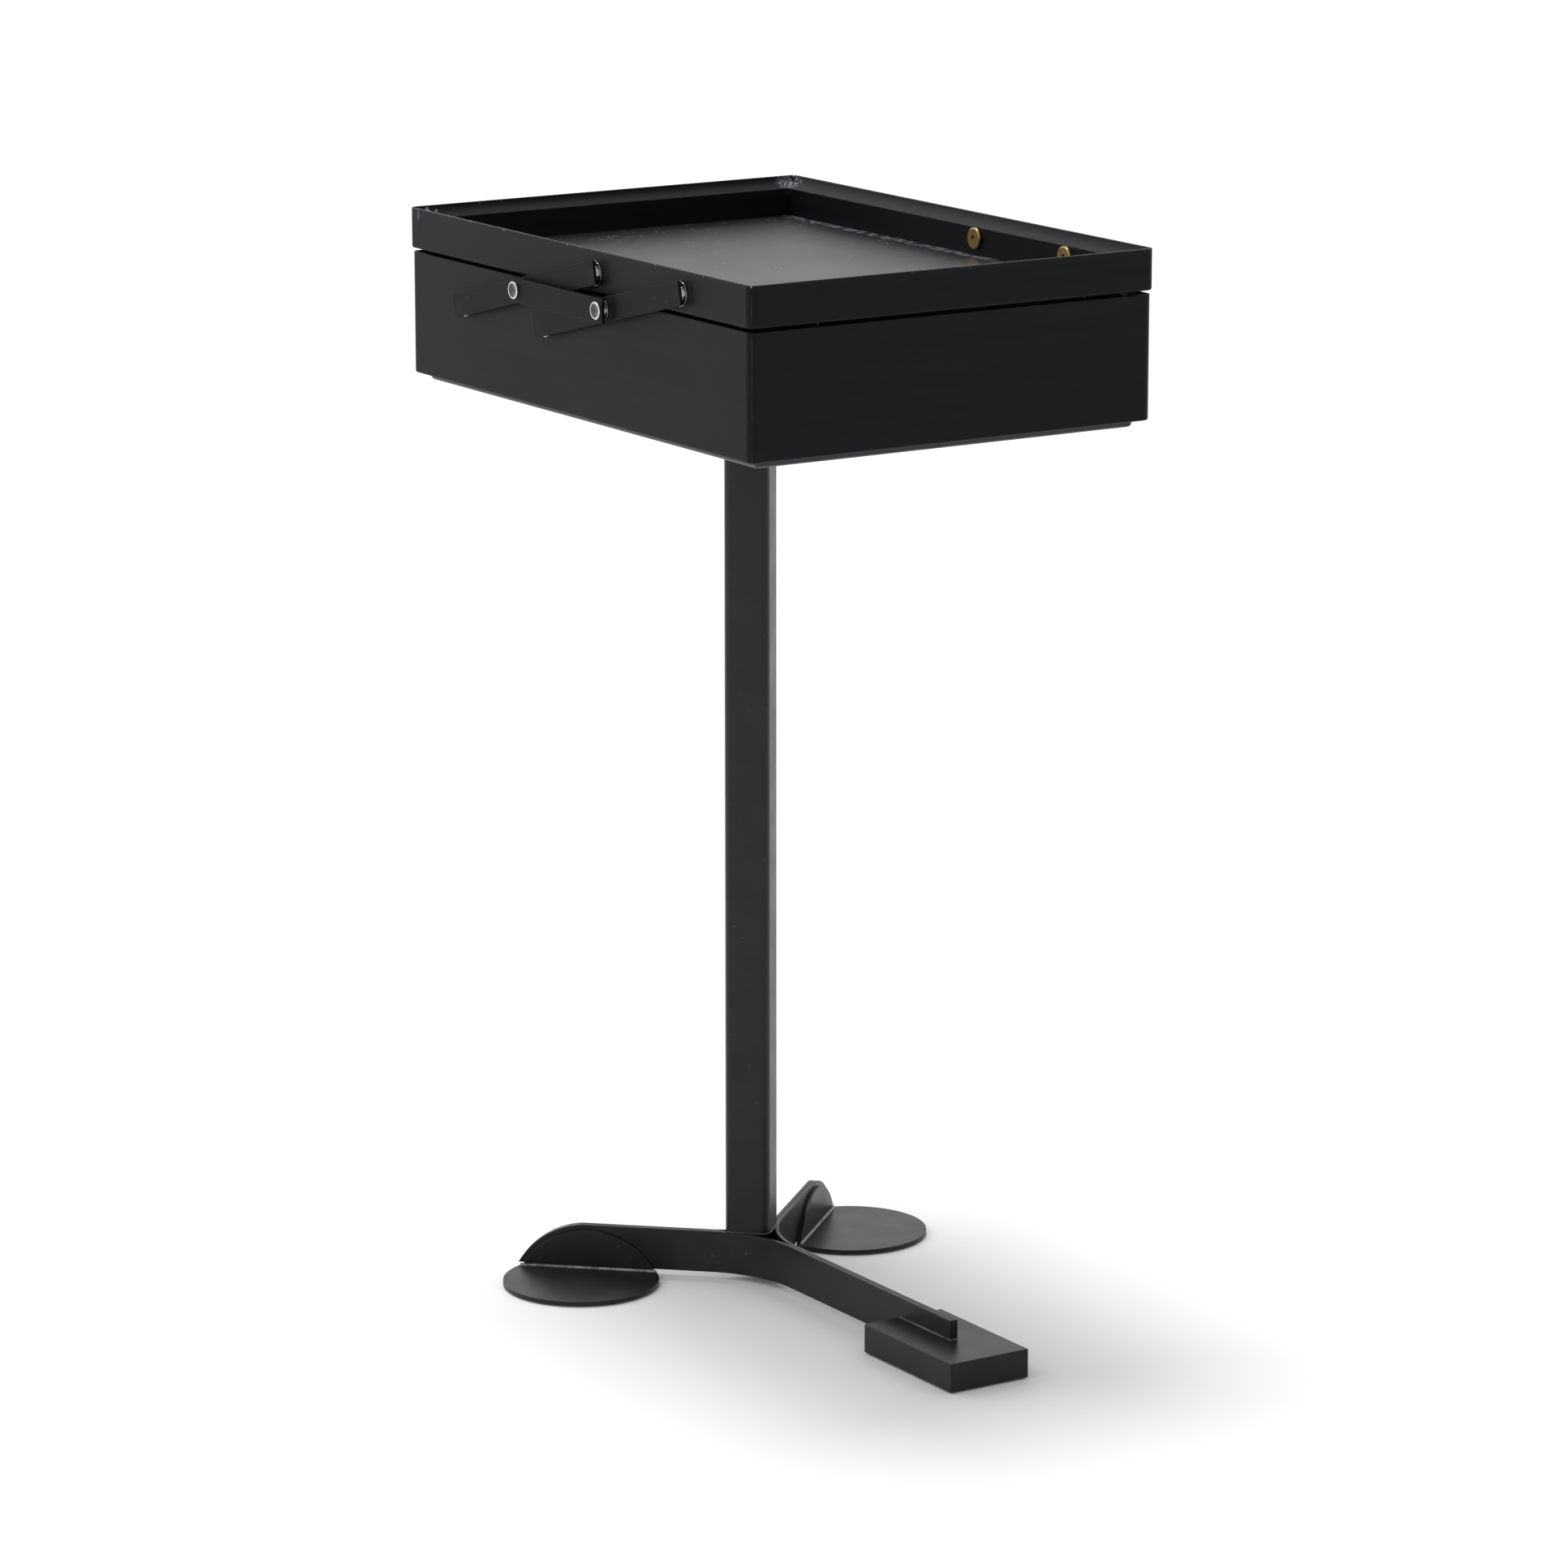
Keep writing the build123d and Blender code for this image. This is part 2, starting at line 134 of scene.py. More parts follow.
class WeldSettings(PropertyGroup):
    """Small weld beads and bend fillets on the foot."""
    column_bead: FloatProperty(
        name="Column bead", description="Radius of the bead at the column's foot", default=0.8 * MM,
        unit="LENGTH")
    block_bead: FloatProperty(
        name="Block bead", description="Size of the fillet round the bars on the block", default=0.9 * MM,
        unit="LENGTH")
    fold_fillet: FloatProperty(
        name="Fold fillet", description="Inside radius of the folded discs", default=1.3 * MM,
        unit="LENGTH")
    ripple: FloatProperty(
        name="Ripple", description="Spacing of the ripples in a bead", default=1.6 * MM, unit="LENGTH")


class StageSettings(PropertyGroup):
    """Floor, lights and camera."""
    floor: FloatVectorProperty(
        name="Floor", description="Colour of the pale floor", subtype="COLOR", size=3,
        default=(0.80, 0.80, 0.81))
    sky: FloatProperty(name="Sky", description="Average strength of the light from all round", default=0.89, min=0)
    sky_slope: FloatProperty(
        name="Sky slope", description="How much brighter the light is behind the table than in front",
        default=0.54, min=0, max=1)
    sun: FloatProperty(name="Sun", description="Strength of the key light", default=1.65, min=0)
    sun_spread: FloatProperty(
        name="Sun spread", description="Angle that the key light covers", subtype="ANGLE",
        default=radians(16))
    sun_height: FloatProperty(
        name="Sun height", description="Elevation of the key light", subtype="ANGLE",
        default=radians(78))
    sun_side: FloatProperty(
        name="Sun side", description="Bearing of the key light, anticlockwise from straight behind",
        subtype="ANGLE", default=radians(0))
    lens: FloatProperty(
        name="Lens", description="Focal length in millimetres on a 36 mm sensor", default=145.98)
    camera_place: FloatVectorProperty(
        name="Camera place", description="Where the camera stands", subtype="TRANSLATION", unit="LENGTH",
        size=3, default=(-2.3033, -3.5940, 1.3484))
    pitch: FloatProperty(
        name="Pitch", description="How far the camera looks down", subtype="ANGLE", default=radians(12.95))
    heading: FloatProperty(
        name="Heading", description="Camera's bearing, clockwise from straight back", subtype="ANGLE",
        default=radians(32.58))


def settings():
    """The settings of all pieces, kept on the scene."""
    return bpy.context.scene.drafting_table


class TableSettings(PropertyGroup):
    """All the settings of the drafting table."""
    wood: PointerProperty(type=WoodSettings)
    steel: PointerProperty(type=SteelSettings)
    fittings: PointerProperty(type=FittingSettings)
    welds: PointerProperty(type=WeldSettings)
    stage: PointerProperty(type=StageSettings)


# ---------------------------------------------------------------- shader helpers
class Shader:
    """Builds one material's nodes, in the table's own coordinates."""

    def __init__(self, name):
        self.material = bpy.data.materials.new(name)
        self.material.use_nodes = True
        self.nodes = self.material.node_tree.nodes
        self.links = self.material.node_tree.links
        self.nodes.clear()
        self.place = self.add("TexCoord").outputs["Object"]

    def add(self, kind, inputs=None, **attributes):
        """A node with its attributes set, and its inputs set or joined."""
        node = self.nodes.new("ShaderNode" + kind)
        for key, value in attributes.items():
            setattr(node, key, value)
        for key, value in (inputs or {}).items():
            if isinstance(value, bpy.types.NodeSocket):
                self.links.new(value, node.inputs[key])
            else:
                node.inputs[key].default_value = value
        return node

    def math(self, operation, first, second=0.0):
        """One sum on two numbers."""
        return self.add("Math", {0: first, 1: second}, operation=operation).outputs[0]

    def span(self, value, low, high, start=0.0, end=1.0):
        """A smooth step from start to end while the value goes from low to high."""
        inputs = {"Value": value, "From Min": low, "From Max": high, "To Min": start, "To Max": end}
        return self.add("MapRange", inputs, interpolation_type="SMOOTHSTEP").outputs[0]

    def stretched(self, scale, offset=(0, 0, 0)):
        """The table's coordinates, stretched."""
        inputs = {"Vector": self.place, "Scale": scale, "Location": offset}
        return self.add("Mapping", inputs).outputs[0]

    def noise(self, scale, detail=2.0, vector=None, roughness=0.5):
        """Noise from 0 to 1; scale is in cells for each metre unless a stretched vector is given."""
        inputs = {"Vector": vector or self.place, "Scale": scale, "Detail": detail, "Roughness": roughness}
        return self.add("TexNoise", inputs).outputs[0]

    def mix(self, amount, first, second):
        """A blend of two colours."""
        node = self.add("Mix", {0: amount, 6: self.solid(first), 7: self.solid(second)}, data_type="RGBA")
        return node.outputs[2]

    @staticmethod
    def solid(colour):
        """A colour with its alpha, or the socket as it is."""
        return colour if isinstance(colour, bpy.types.NodeSocket) else (*colour, 1.0)

    def near(self, point, reach):
        """One at a point, falling to nothing at this distance from it."""
        node = self.add("VectorMath", {0: self.place, 1: point}, operation="DISTANCE")
        return self.span(node.outputs["Value"], 0.0, reach, 1.0, 0.0)

    def axis(self, name):
        """One of the table's coordinates."""
        return self.add("SeparateXYZ", {0: self.place}).outputs[name]

    def soft_edges(self, radius):
        """Normals that run round each edge, and a mask of where the edges are."""
        bevel = self.add("Bevel", {"Radius": radius}, samples=6).outputs[0]
        plain = self.add("NewGeometry").outputs["Normal"]
        dot = self.add("VectorMath", {0: bevel, 1: plain}, operation="DOT_PRODUCT").outputs["Value"]
        return bevel, self.span(dot, 0.995, 0.86)

    def scratches(self, density, offset):
        """Short curved hairlines scattered over the surface."""
        path = self.noise(38.0, 0.0, self.stretched((1, 1, 0.45), offset))
        line = self.span(self.math("ABSOLUTE", self.math("SUBTRACT", path, 0.5)), 0.0, 0.0026, 1.0, 0.0)
        kept = self.noise(70.0, 0.0, self.stretched((1, 1, 1), offset[::-1]))
        return self.math("MULTIPLY", line, self.span(kept, 1.0 - density, 1.02 - density))

    def bump(self, height, distance, normal, strength=1.0):
        """Relief of this depth laid over a normal."""
        inputs = {"Height": height, "Distance": distance, "Normal": normal, "Strength": strength}
        return self.add("Bump", inputs).outputs[0]

    def finish(self, **inputs):
        """The surface itself; an input's words are joined by _."""
        named = {key.replace("_", " "): value for key, value in inputs.items()}
        colour = named.get("Base Color")
        if colour is not None:
            named["Base Color"] = self.solid(colour)
        surface = self.add("BsdfPrincipled", named)
        self.add("OutputMaterial", {"Surface": surface.outputs[0]})
        return self.material


def coat(node, material):
    """Puts one material on all of a frame node."""
    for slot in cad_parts[node].material_slots:
        slot.material = material


# ---------------------------------------------------------------- finishes
def stained_wood(name, colour, roughness, specular, grain, wear=None):
    """Black stain over fine straight grain.

    grain is X or Y, and wear gives the rubbed places from the shader, its grain and its edges.
    """
    wood = settings().wood
    shader = Shader(name)
    lines = {"X": (1 / wood.pore_length, 1 / wood.pore_width, 1 / wood.pore_width),
             "Y": (1 / wood.pore_width, 1 / wood.pore_length, 1 / wood.pore_width)}[grain]
    pores = shader.noise(1.0, 4.0, shader.stretched(lines))
    figure = shader.noise(1.0, 3.0, shader.stretched([value * 0.12 for value in lines]))
    cloud = shader.noise(9.0, 3.0)
    normal, edges = shader.soft_edges(0.7 * MM)

    lighter = [channel * 1.5 for channel in colour]
    tone = shader.math("MULTIPLY", shader.span(figure, 0.3, 0.7), shader.span(cloud, 0.3, 0.75))
    stain = shader.mix(tone, colour, lighter)
    stain = shader.mix(shader.span(pores, 0.46, 0.30, 0.0, 0.35), stain, [channel * 0.4 for channel in colour])
    rubbed = shader.math("MULTIPLY", edges, shader.span(shader.noise(160.0, 3.0), 0.35, 0.75, 0.02, 0.22))
    marks = shader.math("MULTIPLY", shader.scratches(0.24, (3.1, 7.7, 1.9)), 0.06)
    rubbed = shader.math("ADD", rubbed, marks)
    if wear:
        rubbed = shader.math("ADD", rubbed, wear(shader, lines, edges))
    rubbed = shader.add("Clamp", {"Value": rubbed}).outputs[0]

    uneven = shader.math("MULTIPLY", shader.math("SUBTRACT", cloud, 0.5), 0.16)
    gloss = shader.math("ADD", uneven, roughness)
    relief = shader.math("ADD", pores, shader.math("MULTIPLY", figure, 0.5))
    normal = shader.bump(relief, 0.05 * MM, normal, 0.22)
    return shader.finish(Base_Color=shader.mix(rubbed, stain, wood.worn), Roughness=gloss,
                         Specular_IOR_Level=specular, Specular_Tint=(*wood.gloss_tint, 1.0), Normal=normal)


def rim_wear(shader, lines, edges):
    """Pale rubs at the lid's two rear corners and fine nicks along its rear rim."""
    low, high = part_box("lid_wall_rear")
    speckle = shader.noise(420.0, 4.0, roughness=0.7)
    patch = shader.span(speckle, 0.44, 0.66)
    far_corner = shader.near((high.x - 7 * MM, high.y - 7 * MM, high.z - 5 * MM), 13 * MM)
    near_corner = shader.near((low.x + 12 * MM, high.y - 6 * MM, high.z - 4 * MM), 26 * MM)
    rub = shader.math("MULTIPLY", shader.math("MULTIPLY", patch, far_corner), 1.5)
    nick = shader.span(shader.noise(1.0, 3.0, shader.stretched((230, 230, 60))), 0.60, 0.68)
    rub = shader.math("ADD", rub, shader.math("MULTIPLY", shader.math("MULTIPLY", nick, near_corner), 0.7))
    rim = shader.span(shader.axis("Z"), high.z - 2.2 * MM, high.z - 0.8 * MM)
    nicks = shader.span(shader.noise(330.0, 2.0), 0.66, 0.74)
    rub = shader.math("ADD", rub, shader.math("MULTIPLY", shader.math("MULTIPLY", rim, nicks), 0.35))
    return shader.math("ADD", rub, shader.math("MULTIPLY", shader.math("MULTIPLY", rim, edges), 0.9))


def tray_wear(shader, lines, edges):
    """Pale flecks along the grain near the tray's rear and right walls."""
    low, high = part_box("lid_panel")
    rear = shader.span(shader.axis("Y"), high.y - 120 * MM, high.y - 25 * MM)
    right = shader.span(shader.axis("X"), high.x - 62 * MM, high.x - 24 * MM)
    place = shader.math("MAXIMUM", rear, right)
    streak = [lines[0] * 0.8, lines[1] * 2.6, lines[2]]
    fleck = shader.span(shader.noise(1.0, 2.0, shader.stretched(streak, (2, 5, 0))), 0.60, 0.70)
    some = shader.span(shader.noise(26.0, 2.0), 0.42, 0.66)
    speck = shader.math("MULTIPLY", shader.span(shader.noise(300.0, 0.0), 0.80, 0.84), 0.8)
    flecks = shader.math("MULTIPLY", shader.math("MULTIPLY", fleck, some), place)
    dust_x = shader.span(shader.axis("X"), high.x - 18.5 * MM, high.x - 15.5 * MM)
    dust = shader.math("MULTIPLY", dust_x, shader.span(shader.noise(240.0, 3.0), 0.4, 0.7))
    rub = shader.near((0.052, low.y + 62 * MM, 723.5 * MM), 20 * MM)
    rub = shader.math("MULTIPLY", rub, shader.span(shader.noise(90.0, 3.0), 0.35, 0.75, 0.02, 0.16))
    total = shader.math("ADD", shader.math("MULTIPLY", flecks, 0.55), speck)
    return shader.math("ADD", shader.math("ADD", total, rub), shader.math("MULTIPLY", dust, 0.6))


def satin_steel(name, colour, roughness, specular, edge_wear):
    """Blackened steel: soft mottling, faint orange peel and rubbed edges."""
    steel = settings().steel
    shader = Shader(name)
    cloud = shader.noise(38.0, 4.0, roughness=0.6)
    grit = shader.noise(900.0, 2.0)
    normal, edges = shader.soft_edges(steel.edge)
    body = shader.mix(shader.span(cloud, 0.3, 0.7), [c * 0.75 for c in colour], [c * 1.4 for c in colour])
    wear = shader.span(shader.noise(120.0, 4.0), 0.38, 0.68, 0.08, edge_wear)
    rubbed = shader.math("MULTIPLY", edges, wear)
    marks = shader.math("MULTIPLY", shader.scratches(0.24, (1.3, 4.4, 8.2)), 0.07)
    specks = shader.math("MULTIPLY", shader.span(shader.noise(260.0, 0.0), 0.81, 0.85), 0.12)
    rubbed = shader.math("ADD", shader.math("ADD", rubbed, marks), specks)
    rubbed = shader.add("Clamp", {"Value": rubbed}).outputs[0]
    gloss = shader.math("ADD", shader.math("MULTIPLY", shader.math("SUBTRACT", cloud, 0.5), 0.22), roughness)
    normal = shader.bump(grit, 0.012 * MM, normal, 0.5)
    return shader.finish(Base_Color=shader.mix(rubbed, body, steel.rubbed), Roughness=gloss,
                         Specular_IOR_Level=specular, Specular_Tint=(*steel.gloss_tint, 1.0), Normal=normal)


def turned_metal(name, colour, roughness, axes, black_beyond=None, recess=None):
    """Plated metal with turning rings about the X axes through these (y, z) points.

    black_beyond blackens it past this distance from the middle, and recess, a radius and a
    distance from the middle, paints shade into the coned recess of a screw by darkening its colour.
    """
    shader = Shader(name)
    place = shader.add("SeparateXYZ", {0: shader.place})
    distance = None
    for y, z in axes:
        flat = shader.add("CombineXYZ", {"Y": place.outputs["Y"], "Z": place.outputs["Z"]}).outputs[0]
        node = shader.add("VectorMath", {0: flat, 1: (0, y, z)}, operation="DISTANCE")
        value = node.outputs["Value"]
        distance = value if distance is None else shader.math("MINIMUM", distance, value)
    ring = shader.math("SINE", shader.math("MULTIPLY", distance, 2 * pi / (0.22 * MM)))
    smudge = shader.noise(700.0, 3.0)
    tarnish_and_recess_shade = shader.mix(shader.span(smudge, 0.35, 0.75), colour, [c * 0.72 for c in colour])
    normal, edges = shader.soft_edges(0.25 * MM)
    normal = shader.bump(shader.math("ADD", ring, smudge), 0.006 * MM, normal, 0.6)
    gloss = shader.math("ADD", shader.math("MULTIPLY", shader.math("SUBTRACT", smudge, 0.5), 0.18), roughness)
    # painted shade: inside the coned recess of a screw head the colour is darkened to a tenth
    if recess:
        inside = shader.span(distance, recess[0] - 0.3 * MM, recess[0], 1.0, 0.0)
        outer = shader.math("GREATER_THAN", shader.math("ABSOLUTE", place.outputs["X"]), recess[1])
        tarnish_and_recess_shade = shader.mix(shader.math("MULTIPLY", inside, outer), tarnish_and_recess_shade, [c * 0.11 for c in colour])
    if black_beyond is None:
        return shader.finish(Base_Color=tarnish_and_recess_shade, Metallic=1.0, Roughness=gloss, Normal=normal)
    far = shader.math("GREATER_THAN", shader.math("ABSOLUTE", place.outputs["X"]), black_beyond)
    steel = settings().steel
    colour = shader.mix(far, tarnish_and_recess_shade, steel.link_coat)
    return shader.finish(Base_Color=colour, Metallic=shader.math("SUBTRACT", 1.0, far),
                         Roughness=shader.math("MAXIMUM", gloss, shader.math("MULTIPLY", far, 0.46)),
                         Specular_IOR_Level=steel.tip_gloss, Normal=normal)


def felt_cloth(name, colour):
    """Pressed felt: matted fibres and a soft sheen."""
    shader = Shader(name)
    fibre = shader.noise(2600.0, 5.0, roughness=0.7)
    matted = shader.mix(shader.span(fibre, 0.3, 0.7), colour, [c * 2.2 for c in colour])
    normal = shader.bump(fibre, 0.2 * MM, shader.add("NewGeometry").outputs["Normal"])
    return shader.finish(Base_Color=matted, Roughness=0.95, Sheen_Weight=0.4, Normal=normal)


def pad_rubber(name, colour):
    """Thin grey sheet rubber."""
    shader = Shader(name)
    grain = shader.noise(1500.0, 3.0)
    mottled = shader.mix(shader.span(grain, 0.3, 0.7), colour, [c * 0.75 for c in colour])
    normal = shader.bump(grain, 0.05 * MM, shader.add("NewGeometry").outputs["Normal"])
    return shader.finish(Base_Color=mottled, Roughness=0.8, Normal=normal)


def worn_and_highlit_fillet(name, colour, rubbed):
    """A weld or fold fillet in the black coat, paler in patches along it: rubbed on the welds, and on the folds
    both colours are lightened as a painted highlight.
    """
    shader = Shader(name)
    patch = shader.span(shader.noise(130.0, 4.0), 0.25, 0.62)
    body = shader.mix(patch, colour, rubbed)
    normal = shader.bump(shader.noise(1200.0, 2.0), 0.02 * MM, shader.add("NewGeometry").outputs["Normal"])
    return shader.finish(Base_Color=body, Roughness=0.34, Normal=normal)


def pale_floor(name, colour):
    """Matt pale floor with a trace of mottling."""
    shader = Shader(name)
    mottle = shader.noise(3.0, 2.0)
    paint = shader.mix(shader.span(mottle, 0.3, 0.7), colour, [min(1, c * 1.012) for c in colour])
    return shader.finish(Base_Color=paint, Roughness=0.9, Specular_IOR_Level=0.0)


# ---------------------------------------------------------------- mesh helpers
def swept(name, path, section, material, loop=False):
    """A closed solid swept along a level path. section(distance) gives (side, up) corners in order."""
    mesh = bpy.data.meshes.new(name)
    shape = bmesh.new()
    rings = []
    travelled = 0.0
    count = len(path)
    for index, point in enumerate(path):
        before = path[index] - path[index - 1] if index or loop else path[1] - path[0]
        ahead = path[(index + 1) % count] - point if index < count - 1 or loop else before
        before, ahead = before.normalized(), ahead.normalized()
        side_before = Vector((before.y, -before.x, 0))
        side_ahead = Vector((ahead.y, -ahead.x, 0))
        side = (side_before + side_ahead).normalized()
        side = side / max(0.3, side.dot(side_ahead))
        if index:
            travelled += (point - path[index - 1]).length
        corners = section(travelled)
        rings.append([shape.verts.new(point + side * s + Vector((0, 0, u))) for s, u in corners])
    pairs = list(zip(rings, rings[1:]))
    if loop:
        pairs.append((rings[-1], rings[0]))
    for ring, following in pairs:
        for i in range(len(ring)):
            j = (i + 1) % len(ring)
            shape.faces.new((ring[i], ring[j], following[j], following[i]))
    if not loop:
        shape.faces.new(rings[0])
        shape.faces.new(rings[-1][::-1])
    bmesh.ops.recalc_face_normals(shape, faces=shape.faces)
    for face in shape.faces:
        face.smooth = len(face.verts) == 4
    shape.to_mesh(mesh)
    shape.free()
    piece = bpy.data.objects.new(name, mesh)
    bpy.context.scene.collection.objects.link(piece)
    mesh.materials.append(material)
    return piece


def fine(path, step):
    """The same path with points no further apart than step."""
    points = [path[0]]
    for start, end in zip(path, path[1:]):
        pieces = max(1, round((end - start).length / step))
        points += [start.lerp(end, k / pieces) for k in range(1, pieces + 1)]
    return points


def bead_section(radius, ripple):
    """A round bead, swelling a little with each ripple."""
    sides = 12

    def section(distance):
        size = radius * (1 + 0.14 * abs(sin(pi * distance / ripple)))
        turns = [2 * pi * k / sides for k in range(sides)]
        return [(size * cos(turn), size * sin(turn)) for turn in turns]
    return section


def fillet_section(radius):
    """A hollow fillet between a floor and a wall, sunk a little into both."""
    steps = 8
    sunk = 0.15 * radius
    arc = [(radius - radius * sin(k * pi / 2 / steps), radius - radius * cos(k * pi / 2 / steps))
           for k in range(steps + 1)]
    outline = [(radius, -sunk), *arc, (-sunk, radius), (-sunk, -sunk)]
    return lambda distance: outline


# ---------------------------------------------------------------- operators
class DRAFTING_OT_walls(Operator):
    """Stain the eight mitred walls, with the grain along each one"""
    bl_idname = "drafting_table.walls"
    bl_label = "Stain the walls"

    def execute(self, context):
        wood = settings().wood
        for prefix, wear in (("lid", rim_wear), ("box", None)):
            for grain, sides in (("X", ("front", "rear")), ("Y", SIDES)):
                material = stained_wood(f"{prefix}_wall_{grain}", wood.stain, wood.wall_roughness,
                                        wood.wall_gloss, grain, wear)
                for side in sides:
                    coat(f"{prefix}_wall_{side}", material)
        return {"FINISHED"}


class DRAFTING_OT_panels(Operator):
    """Stain the lid's tray panel and the box's bottom panel"""
    bl_idname = "drafting_table.panels"
    bl_label = "Stain the panels"

    def execute(self, context):
        wood = settings().wood
        for node, wear in (("lid_panel", tray_wear), ("box_bottom_panel", None)):
            material = stained_wood(node, wood.panel_stain, wood.panel_roughness, wood.panel_gloss, "Y", wear)
            coat(node, material)
        return {"FINISHED"}


class DRAFTING_OT_steel(Operator):
    """Coat the column, its plate, the bent bars and the feet"""
    bl_idname = "drafting_table.steel"
    bl_label = "Coat the stand"

    def execute(self, context):
        steel = settings().steel
        frame_coat = satin_steel("column_coat", steel.coat, steel.roughness, steel.gloss, 0.25)
        foot_coat = satin_steel("foot_coat", steel.coat, steel.roughness, steel.gloss, 0.6)
        coat("column_tube", frame_coat)
        coat("top_plate", frame_coat)
        for node in ("leg_bar_left", "leg_bar_right", "leg_bar_rear", "foot_disc_left", "foot_disc_right",
                     "foot_block"):
            coat(node, foot_coat)
        return {"FINISHED"}


class DRAFTING_OT_links(Operator):
    """Coat the four links and the two coupler bars"""
    bl_idname = "drafting_table.links"
    bl_label = "Coat the links"

    def execute(self, context):
        steel = settings().steel
        material = satin_steel("link_coat", steel.link_coat, steel.roughness + 0.1, steel.link_gloss, 0.4)
        for side in SIDES:
            coat(f"coupler_bar_{side}", material)
            for end in ENDS:
                coat(f"link_bar_{end}_{side}", material)
        return {"FINISHED"}


def axis_of(node):
    """Where the X axis of a round node runs, as (y, z)."""
    low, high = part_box(node)
    return (low.y + high.y) / 2, (low.z + high.z) / 2


class DRAFTING_OT_fittings(Operator):
    """Plate the bolts, washers, coupler screws, retaining rings, inserts and mounting screws"""
    bl_idname = "drafting_table.fittings"
    bl_label = "Plate the fittings"

    def execute(self, context):
        fittings = settings().fittings
        link_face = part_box("link_bar_rear_right")[0].x
        for part in ("lid", "box"):
            axes = [axis_of(f"{part}_bolt_{end}_left") for end in ENDS]
            brass = turned_metal(f"{part}_brass", fittings.brass, 0.30, axes, link_face)
            nickel = turned_metal(f"{part}_nickel", fittings.nickel, 0.18, axes)
            for side in SIDES:
                for end in ENDS:
                    coat(f"{part}_bolt_{end}_{side}", brass)
                    coat(f"{part}_washer_{end}_{side}", nickel)
        low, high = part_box("coupler_screws_left")
        middle = (low.z + high.z) / 2
        radius = (high.z - low.z) / 2
        axes = [(low.y + radius, middle), (high.y - radius, middle)]
        nickel = turned_metal("coupler_nickel", fittings.nickel, 0.16, axes)
        zinc = turned_metal("retainer_zinc", fittings.zinc, 0.38, axes)
        bar_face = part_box("coupler_bar_right")[1].x
        # the coupler screws get painted shade in their coned recess
        screw = turned_metal("screw_nickel", fittings.nickel, 0.2, axes, recess=(5.0 * MM, bar_face + 0.2 * MM))
        for side in SIDES:
            coat(f"coupler_screws_{side}", screw)
            coat(f"coupler_washers_{side}", nickel)
            coat(f"coupler_retainers_{side}", zinc)
        coat("mount_screws", zinc)
        coat("mount_inserts", turned_metal("insert_brass", fittings.brass, 0.4, axes))
        return {"FINISHED"}


class DRAFTING_OT_pads(Operator):
    """Finish the felt rest buttons and the thin pads under the feet"""
    bl_idname = "drafting_table.pads"
    bl_label = "Finish felt and pads"

    def execute(self, context):
        fittings = settings().fittings
        coat("rest_buttons", felt_cloth("button_felt", fittings.felt))
        rubber = pad_rubber("foot_rubber", fittings.pad)
        for name in ("left", "right", "block"):
            coat(f"foot_pad_{name}", rubber)
        return {"FINISHED"}


class DRAFTING_OT_column_weld(Operator):
    """Weld bead where the column's front faces meet the bars"""
    bl_idname = "drafting_table.column_weld"
    bl_label = "Weld the column"

    def execute(self, context):
        steel, welds = settings().steel, settings().welds
        low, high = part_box("column_tube")
        centre = Vector((0, (low.y + high.y) / 2, low.z))
        reach = (high.x - low.x) / 2
        corner = 6 * MM
        straight = reach - corner
        # a square with rounded corners, standing on one corner: the front half, left to right
        path = []
        for k in range(-16, 17):
            turn = -pi / 2 + radians(5) * k
            bend = max(-1, min(1, round((turn + pi / 2) / (pi / 2))))
            hub = centre + Vector((straight * bend, -straight * (1 - abs(bend)), 0))
            path.append(hub + corner * Vector((cos(turn), sin(turn), 0)))
        material = worn_and_highlit_fillet("weld_coat", steel.coat, [c * 0.14 for c in steel.rubbed])
        section = bead_section(welds.column_bead, welds.ripple)
        bead = swept("column_weld", fine(path, welds.ripple / 4), section, material)
        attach(bead, "stand")
        return {"FINISHED"}


class DRAFTING_OT_folds(Operator):
    """Bend fillets along the inside of both folded feet"""
    bl_idname = "drafting_table.folds"
    bl_label = "Fold fillets"

    def execute(self, context):
        steel, welds = settings().steel, settings().welds
        # painted highlight: the folds' light line is a coat three times as light, with patches lighter than rubbed
        # steel
        material = worn_and_highlit_fillet("fold_highlight_coat", [c * 3 for c in steel.coat], [c * 1.6 for c in steel.rubbed])
        leg_angle = radians(47.3)
        disc_radius = 55 * MM
        face_from_centre = 24.5 * MM
        half_chord = (disc_radius**2 - face_from_centre**2) ** 0.5
        plate_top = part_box("foot_disc_left")[0].z + 3 * MM
        for side, sign in (("left", -1), ("right", 1)):
            low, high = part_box(f"foot_disc_{side}")
            outer = low.x if side == "left" else high.x
            centre = Vector((outer - sign * disc_radius, low.y + disc_radius, plate_top))
            to_leg = Vector((-sign * cos(leg_angle), sin(leg_angle), 0))
            along = Vector((sign * sin(leg_angle), cos(leg_angle), 0))
            middle = centre + to_leg * face_from_centre
            ends = [middle + along * half_chord * way for way in (-sign, sign)]
            strip = swept(f"fold_fillet_{side}", fine(ends, 4 * MM), fillet_section(welds.fold_fillet), material)
            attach(strip, "stand")
        return {"FINISHED"}


class DRAFTING_OT_block_weld(Operator):
    """Thin weld fillet round the bars on top of the front block"""
    bl_idname = "drafting_table.block_weld"
    bl_label = "Weld the block"

    def execute(self, context):
        steel, welds = settings().steel, settings().welds
        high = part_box("foot_block")[1]
        bar_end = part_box("leg_bar_left")[0].y
        half_pair = 3 * MM
        path = [Vector((-half_pair, high.y - 1 * MM, high.z)), Vector((-half_pair, bar_end, high.z)),
                Vector((half_pair, bar_end, high.z)), Vector((half_pair, high.y - 1 * MM, high.z))]
        material = worn_and_highlit_fillet("block_weld_coat", steel.coat, [c * 0.5 for c in steel.rubbed])
        bead = swept("block_weld", path, fillet_section(welds.block_bead), material)
        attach(bead, "stand")
        return {"FINISHED"}


